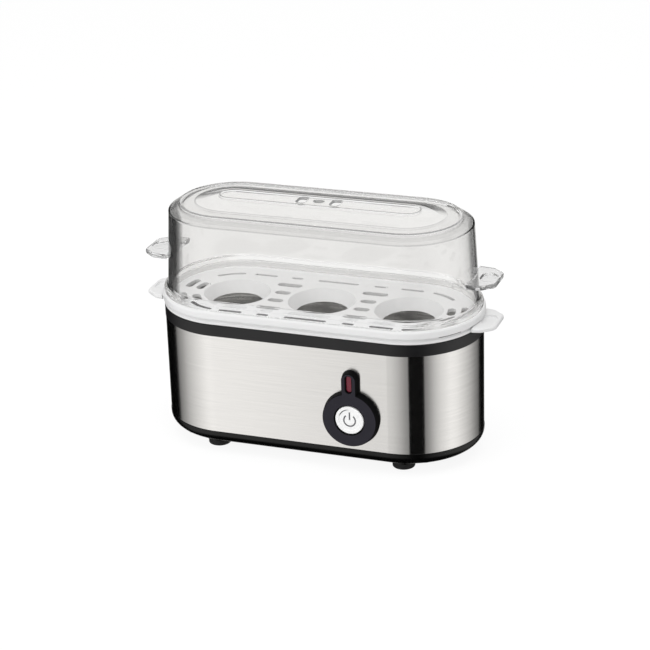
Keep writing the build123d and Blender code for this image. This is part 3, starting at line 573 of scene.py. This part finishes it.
ring_edge = every(tree, within(tree, reach, ring_radius, 0.5), within(tree, height, 140.4, 0.5))
panel_edge = every(tree, within(tree, reach, 21.86, 0.5), within(tree, height, 140.8, 0.3), front)
crown_edge = every(tree, within(tree, reach, 7.4, 0.4), within(tree, height, 143.9, 0.3), under(tree, depth, 5.0))
shoulder_edge = every(tree, within(tree, height, 136.1, 0.3), over(tree, reach, 36.0), front)

rear_roof = every(tree, on_roof, rise(tree, depth, 1 * MM, 5 * MM))
outer_part = over(tree, calc(tree, "ADD", reach, depth), 21.0)
dark_strip = every(tree, rear_roof, outer_part, rise(tree, edge_on, 0.62, 0.75))
pale_strip = every(tree, rear_roof, other(tree, outer_part))
climb = rise(tree, reach, roof_radius * MM, 10 * MM)
off_ring = other(tree, within(tree, reach, ring_radius, 1.3))
far = rise(tree, depth, 12 * MM, 20 * MM)
rear_band = every(tree, over(tree, height, 135.6), over(tree, reach, 22.4), far, off_ring)
print("lid edge nodes:", len(tree.nodes))

# %% [markdown]
# Seen flat on, the lid is nearly invisible. Seen edge on, the light crosses much more of it and the dark side of
# the studio shows in it, so the round ends look dark. Each ramp below paints that shade into the lid's colour by how
# edge on the surface is seen. The tint is strongest at the left end, which stands beside the dark side of the studio,
# and the sloping shoulder is a little greyer than the wall. The greys on the finger tabs and on the vent walls are
# painted shade as well. The tints are laid over one another in order, the large areas first and the thin lines last.

# %% Tints of the lid
plain = ramp(tree, edge_on, [(0.62, 0.95), (0.90, 0.45)])
round_wall = ramp(tree, edge_on, [
    (0.16, 0.905), (0.36, 0.868), (0.44, 0.85), (0.49, 0.80), (0.55, 0.74), (0.60, 0.60), (0.66, 0.42),
    (0.70, 0.15), (0.76, 0.03)])
dark_wall = ramp(tree, edge_on, [
    (0.16, 0.905), (0.30, 0.885), (0.36, 0.855), (0.45, 0.838), (0.475, 0.80), (0.50, 0.30), (0.56, 0.06),
    (0.70, 0.01)])
side_wall = ramp(tree, edge_on, [(0.16, 0.905), (0.36, 0.868), (0.44, 0.85), (0.55, 0.78), (0.80, 0.62)])
slope_end = ramp(tree, edge_on, [(0.20, 0.78), (0.50, 0.76), (0.70, 0.60), (0.86, 0.12)])
slope_side = ramp(tree, edge_on, [(0.20, 0.78), (0.50, 0.76), (0.86, 0.62)])
roof = ramp(tree, edge_on, [(0.68, 0.97), (0.77, 0.12), (0.90, 0.05)])
wall = mix(tree, flat_side, mix(tree, left_end, round_wall, dark_wall), side_wall)
slope = mix(tree, straight, slope_end, slope_side)

# painted shade and painted edge lines, laid over the plain tint in order
layers = [
    (on_wall, wall), (on_roof, roof), (on_slope, slope),
    (dark_strip, mix(tree, climb, 0.30, 0.02)), (pale_strip, 0.97),
    (on_dimple, 0.45), (on_tab, 0.80), (vent_wall, 0.40),
    (ring_edge, mix(tree, front, 0.50, 0.18)), (panel_edge, 0.60), (crown_edge, 0.22), (shoulder_edge, 0.50),
]
body_tint = plain
for share, colour in layers:
    body_tint = mix(tree, share, body_tint, colour)
tree.links.new(body_tint, shader.inputs["Base Color"])
print("lid tints:", len(layers), "over the plain one")

# %% [markdown]
# The vents, the lip's ends and the finger tabs are polished less than the rest, so they are slightly milky. The dark
# strip is milky too and reflects less, or the bright tent would wash it out.
#
# The lip at the foot is solid, and would break the view of the slots behind it into several thin strips. In the
# picture they are whole, so along the straight sides most of the light goes straight on. The band behind the dark
# strip is crossed by the shell's inner edges, and letting light straight on hides them as well. What is left is
# the alpha.

# %% Clearness of the lid


def most(tree, *shares):
    """The largest of the shares."""
    largest = shares[0]
    for share in shares[1:]:
        largest = calc(tree, "MAXIMUM", largest, share)
    return largest


strip_milk = calc(tree, "MULTIPLY_ADD", climb, 0.75, 0.15)
milky = most(tree, every(tree, on_lip, 0.16), every(tree, vent_wall, 0.60), every(tree, on_tab, 0.10),
             every(tree, dark_strip, strip_milk))
straight_on = most(tree, every(tree, low_side, 0.85), every(tree, rear_band, 0.60))
haze = rise(tree, noise(tree, place, Scale=90.0, Detail=3.0), 0.4, 0.7, 0.0, 0.02)
matt = most(tree, haze, every(tree, on_dimple, 0.4), every(tree, on_lip, 0.12))
tree.links.new(calc(tree, "MULTIPLY_ADD", dark_strip, -0.5, 0.5), shader.inputs["Specular IOR Level"])
tree.links.new(other(tree, milky), shader.inputs["Transmission Weight"])
tree.links.new(other(tree, straight_on), shader.inputs["Alpha"])
tree.links.new(matt, shader.inputs["Roughness"])
print("lid finish nodes:", len(tree.nodes))

# %% [markdown]
# The lens in the control is dark red, because its lamp is off. The small lamp behind it is clear glass. With those
# two every finish is there, and each solid gets the one that its slot is named after.

# %% Lens and lamp, and every finish on its solid
moulded("red_lens", (0.18, 0.008, 0.028), 0.25, grain=0.5, depth=0.004)
tree, shader = moulded("lamp_glass", (0.85, 0.80, 0.74), 0.1, grain=1.0, depth=0.001)
shader.inputs["Transmission Weight"].default_value = 0.8

for solid in solids.values():
    slot = solid.material_slots[0]
    slot.material = finishes[slot.material.name]
solids["lid"].visible_shadow = solids["lid"].visible_diffuse = False
print("finishes on the solids:", len(finishes))

# %% [markdown]
# ## Power symbol
# The mark on the button is a printed broken ring with a bar. A small square is spun round the button's axis for the
# ring, and a cube is stretched for the bar. Both sink a little into the dished face, so no gap shows.

# %% Power symbol
mark_radius, stroke, thickness = 3.4 * MM, 0.80 * MM, 0.30 * MM
bar_length, bar_middle = 4.6 * MM, 2.7 * MM
dish, skin, drop = 0.40 * MM, 0.05 * MM, 0.3 * MM
gap, steps = math.radians(38), 48

mark = bmesh.new()
bar = bmesh.ops.create_cube(mark, size=1)["verts"]
bmesh.ops.scale(mark, vec=(stroke, thickness, bar_length), verts=bar)
bmesh.ops.translate(mark, vec=(0, 0, bar_middle), verts=bar)
corners = [mark.verts.new((mark_radius + a * stroke / 2, b * thickness / 2, 0))
           for a, b in ((-1, -1), (1, -1), (1, 1), (-1, 1))]
end_face = mark.faces.new(corners)
bmesh.ops.rotate(mark, cent=(0, 0, 0), matrix=Matrix.Rotation(-(math.pi / 2 - gap), 3, "Y"), verts=corners)
bmesh.ops.spin(mark, geom=[end_face], cent=(0, 0, 0), axis=(0, 1, 0), angle=2 * math.pi - 2 * gap, steps=steps)
bmesh.ops.recalc_face_normals(mark, faces=mark.faces)
bmesh.ops.translate(mark, vec=hub + Vector((0, dish - skin + thickness / 2, -drop)), verts=mark.verts)
symbol = shape("power_symbol", mark)
moulded("symbol_grey", (0.12, 0.12, 0.13), 0.45, grain=0.3, depth=0.002)
symbol.data.materials.append(finishes["symbol_grey"])
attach(symbol, "button")
print("symbol faces:", len(symbol.data.polygons))
